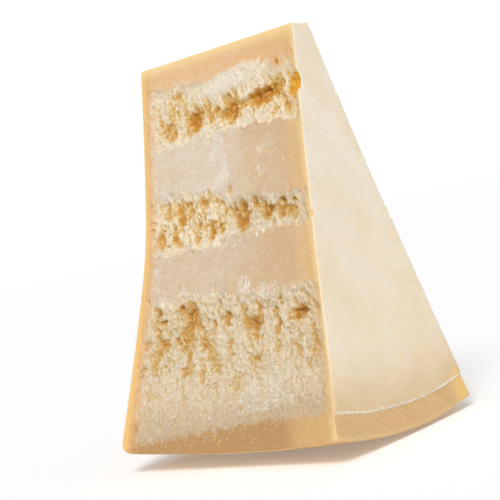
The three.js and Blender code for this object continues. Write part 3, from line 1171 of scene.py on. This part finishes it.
@dataclass
class Wedge:
    """The wedge of cheese: one closed skin, finer than its solid."""

    wheel: Wheel = field(default_factory=Wheel)
    stand: Stand = field(default_factory=Stand)
    cells: tuple[int, int, int] = (196, 326, 22)
    fine_rows: int = 3  # behind the front, before the cells get twice as wide
    crowding: float = 1.3
    edge_pull: tuple[float, float] = (0.3, 0.9)  # how much closer cells stand near the edges, across and round
    edge_rounding: float = 0.8
    settling: float = 16.0
    rear_swell: float = 3.2
    knife_slant: float = math.radians(-28.0)
    tip_wave: tuple[float, float, float, int] = (1.2, 13.0, 5.0, 60)
    side_wave: tuple[float, float, int] = (0.8, 30.0, 61)
    carried_relief: tuple[str, ...] = ("rough", "flake", "frost", "crest_highlight", "hollow")

    # Where each share that the materials read rises, in millimetres
    thin_depth: tuple[float, float] = (0.5, 1.8)
    thin_from_cut: tuple[float, float] = (10.0, 7.0)
    thin_radius: tuple[float, float] = (66.0, 60.0)
    corner_from_rear: tuple[float, float] = (16.0, 2.0)
    corner_from_side: tuple[float, float] = (20.0, 11.0)
    # where the painted shade low by the floor rises, with the rind zone's tan
    foot_from_cut: tuple[float, float] = (12.0, 34.0)
    foot_from_side: tuple[float, float] = (20.0, 10.0)
    # where the darker coat over the rough paste rises
    dim_from_side: tuple[float, float] = (78.0, 66.0)
    dim_radius: tuple[float, float] = (70.0, 76.0)
    dim_from_cut: tuple[float, float] = (66.0, 46.0)
    dim_share: float = 0.8  # of it in the middle band
    scored_rise: tuple[float, float] = (0.2, -0.4)
    lip_width: float = 0.8

    def __post_init__(self) -> None:
        """Makes the two split faces."""
        self.front = front_split(self.wheel)
        self.rear = rear_split(self.wheel)

    def along_places(self) -> Numbers:
        """Places along the radius that stand closer together where the splits are rough.

        Returns:
            Places from 0 to 1, one more than there are cells.
        """
        fine = np.linspace(0.0, 1.0, 2001)
        middle = np.full_like(fine, 0.5)
        faces = (self.front, self.rear)
        rough = sum(smoothstep(face.inside(middle, fine)[0], -3.0, 1.0) for face in faces) / len(faces)
        reached = np.concatenate([[0.0], np.cumsum(1.0 + self.crowding * rough[1:])])
        return np.interp(np.linspace(0.0, reached[-1], self.cells[1] + 1), reached, fine)

    @staticmethod
    def edge_places(count: int, pull: float) -> Numbers:
        """Places that stand closer together near both ends.

        Args:
            count: how many cells there are.
            pull: how much closer, from 0 for even to 1 for most.

        Returns:
            Places from 0 to 1, one more than there are cells.
        """
        even = np.linspace(0.0, 1.0, count + 1)
        return lerp(even, (1 - np.cos(math.pi * even)) / 2, pull)

    def lattice(self) -> tuple[Numbers, list[list[int]], list[int]]:
        """The skin of a box of cells, half as fine beyond a few rows behind the front.

        Returns:
            The places of the vertices, the corners of the faces, and each face's slot.
        """
        fine_rows = self.fine_rows
        shape = [n + 1 for n in self.cells]
        on_skin = np.zeros(shape, bool)
        for side in Side:
            axis, end, _ = side.value
            on_skin[tuple(end if a == axis else slice(None) for a in range(3))] = True
        on_skin[1::2, :, fine_rows + 1 :] = False
        on_skin[:, 1::2, fine_rows + 1 :] = False
        numbers = np.full(shape, -1)
        numbers[on_skin] = np.arange(on_skin.sum())

        faces: list[list[int]] = []
        slots: list[int] = []
        for side in Side:
            axis, end, slot = side.value
            sheet = numbers.take(end, axis)
            sheets = [sheet if side is Side.FRONT else sheet[::2, ::2]]
            if axis != 2:
                sheets = [sheet[:, : fine_rows + 1], sheet[::2, fine_rows + 1 :]]
            rows = [
                np.stack([s[:-1, :-1], s[1:, :-1], s[1:, 1:], s[:-1, 1:]], -1).reshape(-1, 4) for s in sheets
            ]
            if axis != 2:  # faces with five corners join the fine rows to the coarse ones
                fine, coarse = sheet[:, fine_rows], sheet[::2, fine_rows + 1]
                rows.append(np.stack([fine[:-1:2], fine[1::2], fine[2::2], coarse[1:], coarse[:-1]], -1))
            for group in rows:
                faces += (group[:, ::-1] if (end == -1) != (axis == 1) else group).tolist()
                slots += [slot] * len(group)
        steps = (
            self.edge_places(self.cells[0], self.edge_pull[0]),
            self.along_places(),
            self.edge_places(self.cells[2], self.edge_pull[1]),
        )
        places = np.stack([step[n] for step, n in zip(steps, np.argwhere(on_skin).T)], -1)
        return places, faces, slots

    def rounded(self, places: Numbers) -> Numbers:
        """Rounds the box's edges a little, by a radius in real millimetres.

        Args:
            places: rows of across, along and round, from 0 to 1.

        Returns:
            The same rows, drawn in near the edges.
        """
        tip = lerp(self.wheel.tip_radius, self.wheel.tip_radius_at_rind, places[:, 0])
        radius = lerp(tip, self.wheel.side_radius(places[:, 0]), places[:, 1])
        width = np.full_like(radius, self.wheel.half_height)
        size = np.stack([width, self.wheel.radius - tip, radius * self.wheel.sector], -1)
        rounding = np.minimum(self.edge_rounding, 0.2 * size[:, 2])[:, None]
        point = places * size
        inner = np.clip(point, rounding, size - rounding)
        away = point - inner
        length = np.maximum(np.linalg.norm(away, axis=1, keepdims=True), 1e-9)
        return (inner + away / length * rounding) / size

    def knife_grid(self, points: Numbers) -> Numbers:
        """Turns places on the cut face to lie along the knife's marks and across them.

        Args:
            points: rows of X, Y and Z in the wheel's frame.

        Returns:
            Rows of along the marks, across them, and X.
        """
        turn = self.knife_slant
        along = points[:, 1] * math.cos(turn) + points[:, 2] * math.sin(turn)
        across = points[:, 2] * math.cos(turn) - points[:, 1] * math.sin(turn)
        return np.stack([along, across, points[:, 0]], -1)

    def waves(self, across: Numbers, turn: Numbers, x: Numbers, arc: Numbers) -> tuple[Numbers, Numbers]:
        """Makes the tip and the barrel-shaped side a little uneven.

        Args:
            across: places from the cut face to the flat rind.
            turn: places round from the front to the rear.
            x: distances from the cut face.
            arc: distances round from the front.

        Returns:
            How far the tip sinks, and how far the side does.
        """
        depth, size, round_size, seed = self.tip_wave
        inside = np.sin(math.pi * turn) * smoothstep(np.minimum(across, 1 - across), 0.0, 0.12)
        tip_depth = depth * (noise(x / size, arc / round_size, seed) - 0.5) * inside
        depth, size, seed = self.side_wave
        return tip_depth, depth * (noise(x / size, arc / size, seed) - 0.5)

    def carried(
        self, across: Numbers, radius: Numbers, turn: Numbers, angle: Numbers, front: Relief, rear: Relief
    ) -> dict[str, Numbers]:
        """Works out the numbers that the mesh carries for the materials.

        Args:
            across: places from the cut face to the flat rind.
            radius: distances from the wheel's axis.
            turn: places round from the front to the rear.
            angle: the same in radians.
            front: the front's relief.
            rear: the rear's.

        Returns:
            Each number's name and its values.
        """
        wheel = self.wheel
        x, at_rear = across * wheel.half_height, turn > 0.5
        from_side = wheel.side_radius(across) - radius
        above_score = wheel.radius - wheel.scored_depth - radius
        thin = smoothstep(front.deep, *self.thin_depth) * smoothstep(x, *self.thin_from_cut)
        corner = smoothstep(radius * (wheel.sector - angle), *self.corner_from_rear)
        middle = smoothstep(x, *self.dim_from_cut) * smoothstep(radius, *self.dim_radius)
        dim_zone = np.maximum(smoothstep(from_side, *self.dim_from_side), self.dim_share * middle)
        numbers = {
            name: np.where(at_rear, getattr(rear, name), getattr(front, name))
            for name in self.carried_relief
        }
        return numbers | {
            "from_cut": x,
            "from_rind": wheel.half_height - x,
            "from_tip": radius - lerp(wheel.tip_radius, wheel.tip_radius_at_rind, across),
            "from_side": from_side,
            "cream": np.where(at_rear, rear.crag * rear.rough, front.crag * front.rough),
            "thin_edge": thin * smoothstep(radius, *self.thin_radius) * (1 - at_rear),
            "worn_corner": corner * smoothstep(from_side, *self.corner_from_side),
            # painted shade low by the floor, with the rind zone's tan
            "foot_shade_and_tan": smoothstep(x, *self.foot_from_cut) * smoothstep(from_side, *self.foot_from_side),
            "rough_dimmed": front.rough * dim_zone,
            "score_lip": np.exp(-((above_score / self.lip_width) ** 2)),
            "scored": smoothstep(above_score, *self.scored_rise),
        }

    def skin(self, places: Numbers) -> tuple[Numbers, dict[str, Numbers]]:
        """Draws the box out to the wedge's shape.

        Args:
            places: rows of across, along and round, from 0 to 1.

        Returns:
            Points in the wheel's frame, and what the materials read at each.
        """
        wheel = self.wheel
        across, along, turn = self.rounded(places).T
        tip = lerp(wheel.tip_radius, wheel.tip_radius_at_rind, across)
        radius = lerp(tip, wheel.side_radius(across), along)
        out = radius / wheel.radius
        spread = wheel.rim_flare * across**2 * wheel.flare(out) / radius
        angle = wheel.sector * turn - spread * (1 - turn)

        front, rear = self.front.relief(across, out), self.rear.relief(across, out)
        fade = np.minimum(self.settling, radius * wheel.sector)
        near_front = 1 - smoothstep(radius * wheel.sector * turn / fade, 0.0, 1.0)
        near_rear = 1 - smoothstep(radius * wheel.sector * (1 - turn) / fade, 0.0, 1.0)
        swell = self.rear_swell * np.sin(math.pi * along) * np.sin(math.pi * across / 2)
        front_depth, rear_depth = front.depth * near_front, (rear.depth - swell) * near_rear
        sunk = front.sunk * near_front + rear.sunk * near_rear
        tip_depth, side_depth = self.waves(across, turn, across * wheel.half_height, radius * angle)
        shaped = radius + tip_depth * (1 - along) - side_depth * along - sunk
        points = np.stack(
            [
                lerp(wheel.cut_face_x(out), wheel.flat_rind_x(out), across),
                shaped * np.sin(angle) + front_depth - rear_depth * math.cos(wheel.sector),
                -shaped * np.cos(angle) - rear_depth * math.sin(wheel.sector),
            ],
            -1,
        )
        grids = {WHEEL_GRID: points, KNIFE_GRID: self.knife_grid(points)}
        return points, self.carried(across, radius, turn, angle, front, rear) | grids

    def build(self) -> bpy.types.Object:
        """Builds and dresses the wedge.

        Returns:
            The finished piece.
        """
        places, faces, slots = self.lattice()
        points, carried = self.skin(places)
        finishes = (SPLIT_PASTE, CUT_PASTE, RIND)
        piece = dress("hard_cheese_wedge", self.stand.place(points), faces, carried, finishes)
        piece.data.polygons.foreach_set("material_index", slots)
        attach(piece, "root")
        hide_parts("cheese_wedge")
        log.info("%s: %d triangles", piece.name, sum(len(face) - 2 for face in faces))
        return piece


@dataclass(frozen=True)
class TornEdge:
    """The burr of pale crumbs that the scoring knife tore up along the upper edge of the scored band."""

    wheel: Wheel = field(default_factory=Wheel)
    stand: Stand = field(default_factory=Stand)
    cell: float = 0.4
    sides: int = 7
    width: tuple[float, float] = (0.25, 0.95)
    height: tuple[float, float] = (0.1, 0.6)
    crumb_sizes: tuple[float, float, float, float] = (0.9, 1.1, 0.7, 5.0)  # width, height, line and gaps
    stray: float = 0.5
    sinking: float = 0.1
    margin: float = 0.012  # of the wedge's angle, kept clear at both ends
    seed: int = 90

    def rings(self) -> Numbers:
        """Draws the rings round the burr, from the front to the rear.

        Returns:
            Rows of X, Y and Z in the wheel's frame, one ring after another.
        """
        middle = self.wheel.radius - self.wheel.scored_depth
        count = int(middle * self.wheel.sector / self.cell)
        turn = np.linspace(self.margin, 1 - self.margin, count) * self.wheel.sector
        run = turn * middle
        still = np.zeros_like(run)
        wide, high, line, gaps = (
            noise(run / size, still, self.seed + n) for n, size in enumerate(self.crumb_sizes)
        )
        taper = smoothstep(np.minimum(run - run[0], run[-1] - run), -0.2, 1.5)
        wide = lerp(*self.width, wide) * taper
        high = lerp(*self.height, high) * taper * (0.4 + gaps)
        radius = middle + self.stray * (line + gaps - 1.0)
        rings = []
        for side in range(self.sides):
            round_angle = 2 * math.pi * side / self.sides
            away = radius + wide * math.cos(round_angle)
            lift = self.wheel.cut_face_x(radius / self.wheel.radius) + high * math.sin(round_angle)
            lift = lift - self.sinking
            rings.append(np.stack([lift, away * np.sin(turn), -away * np.cos(turn)], -1))
        return np.stack(rings, 1).reshape(-1, 3)

    def build(self) -> bpy.types.Object:
        """Builds and dresses the burr.

        Returns:
            The finished piece.
        """
        points = self.rings()
        last = len(points) - self.sides
        faces = [list(range(self.sides))[::-1], list(range(last, len(points)))]
        for start in range(0, last, self.sides):
            for side in range(self.sides):
                near, far = start + side, start + (side + 1) % self.sides
                faces.append([near, far, far + self.sides, near + self.sides])
        piece = dress("torn_score_edge", self.stand.place(points), faces, {WHEEL_GRID: points}, (BURR,))
        shape = bmesh.new()
        shape.from_mesh(piece.data)
        bmesh.ops.recalc_face_normals(shape, faces=shape.faces)
        shape.to_mesh(piece.data)
        shape.free()
        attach(piece, "root")
        log.info("%s: %d faces", piece.name, len(faces))
        return piece


# The studio


@dataclass(frozen=True)
class Studio:
    """A white table under a wide soft sky, with one soft lamp above and to the right of the viewer."""

    floor_radius: float = 4000.0
    floor_colour: str = "#F6F6F6"
    floor_glow: float = 0.18
    sky: float = 0.4
    backdrop_radius: float = 5000.0
    lamp_azimuth: float = math.radians(32.0)  # from the front, towards the cut face
    lamp_height: float = math.radians(50.0)
    lamp_softness: float = math.radians(26.0)
    lamp_power: float = 1.93

    def floor(self) -> bpy.types.Object:
        """Lays the table's white top.

        Returns:
            The floor, which is not part of the object.
        """
        corners = [
            (self.floor_radius * MM * math.cos(turn), self.floor_radius * MM * math.sin(turn), 0.0)
            for turn in np.linspace(0, 2 * math.pi, 64, endpoint=False)
        ]
        mesh = bpy.data.meshes.new("table_top")
        mesh.from_pydata(corners, [], [list(range(len(corners)))])
        material = bpy.data.materials.new("laminate, matt white")
        material.use_nodes = True
        shader = material.node_tree.nodes["Principled BSDF"]
        shader.inputs["Base Color"].default_value = linear(self.floor_colour)
        shader.inputs["Roughness"].default_value = 0.9
        shader.inputs["Specular IOR Level"].default_value = 0.0
        shader.inputs["Emission Color"].default_value = (1.0, 1.0, 1.0, 1.0)
        shader.inputs["Emission Strength"].default_value = self.floor_glow
        mesh.materials.append(material)
        floor = bpy.data.objects.new("table_top", mesh)
        bpy.context.scene.collection.objects.link(floor)
        return floor

    def backdrop(self) -> bpy.types.Object:
        """Puts up a white dome that is only seen: it gives no light, and casts no shadow.

        Returns:
            The backdrop, which is not part of the object.
        """
        mesh = bpy.data.meshes.new("backdrop")
        shape = bmesh.new()
        bmesh.ops.create_uvsphere(shape, u_segments=32, v_segments=16, radius=self.backdrop_radius * MM)
        shape.to_mesh(mesh)
        shape.free()
        material = bpy.data.materials.new("studio cloth, lit white")
        material.use_nodes = True
        material.node_tree.nodes.clear()
        glow = add_node(material.node_tree, "Emission", {"Color": (1.0, 1.0, 1.0, 1.0), "Strength": 1.05})
        add_node(material.node_tree, "OutputMaterial", {"Surface": glow})
        mesh.materials.append(material)
        dome = bpy.data.objects.new("backdrop", mesh)
        dome.visible_diffuse = dome.visible_glossy = dome.visible_transmission = dome.visible_shadow = False
        bpy.context.scene.collection.objects.link(dome)
        return dome

    def lights(self) -> None:
        """Sets up the sky and the lamp."""
        world = bpy.data.worlds.new("white studio")
        world.use_nodes = True
        sky = world.node_tree.nodes["Background"]
        sky.inputs["Color"].default_value = (1.0, 1.0, 1.0, 1.0)
        sky.inputs["Strength"].default_value = self.sky
        bpy.context.scene.world = world
        data = bpy.data.lights.new("soft_lamp", "SUN")
        data.energy, data.angle = self.lamp_power, self.lamp_softness
        lamp = bpy.data.objects.new("soft_lamp", data)
        flat = math.cos(self.lamp_height)
        towards = Vector((flat * math.sin(self.lamp_azimuth), -flat * math.cos(self.lamp_azimuth), 0.0))
        towards.z = math.sin(self.lamp_height)
        lamp.rotation_euler = towards.to_track_quat("Z", "Y").to_euler()
        bpy.context.scene.collection.objects.link(lamp)


@dataclass(frozen=True)
class ViewCamera:
    """A camera at the photograph's angle: low, close, and rolled."""

    azimuth: float = math.radians(45.85)
    down: float = math.radians(2.21)
    roll: float = math.radians(-13.54)
    lens: float = 93.6
    sensor: float = 36.0
    centre: tuple[float, float, float] = Stand.centre
    centre_seen: tuple[float, float, float] = (17.91, 125.53, 590.67)  # to the right, up and ahead

    def build(self) -> bpy.types.Object:
        """Sets the scene's camera.

        Returns:
            The camera.
        """
        turn = (
            Matrix.Rotation(self.azimuth, 3, "Z")
            @ Matrix.Rotation(math.pi / 2 - self.down, 3, "X")
            @ Matrix.Rotation(self.roll, 3, "Z")
        )
        right, up, ahead = self.centre_seen
        place = Vector(self.centre) - turn @ Vector((right, up, -ahead))
        data = bpy.data.cameras.new("photo_camera")
        data.lens, data.sensor_width, data.clip_start = self.lens, self.sensor, 0.01
        camera = bpy.data.objects.new("photo_camera", data)
        camera.matrix_world = Matrix.Translation(place * MM) @ turn.to_4x4()
        bpy.context.scene.collection.objects.link(camera)
        bpy.context.scene.camera = camera
        return camera


def main() -> None:
    """Loads the frame, and builds the wedge and the studio."""
    logging.basicConfig(level=logging.INFO, format="%(message)s")
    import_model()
    Wedge().build()
    TornEdge().build()
    studio = Studio()
    studio.floor()
    studio.backdrop()
    studio.lights()
    ViewCamera().build()
    bpy.context.scene.view_settings.view_transform = "Standard"


if __name__ == "__main__":
    main()
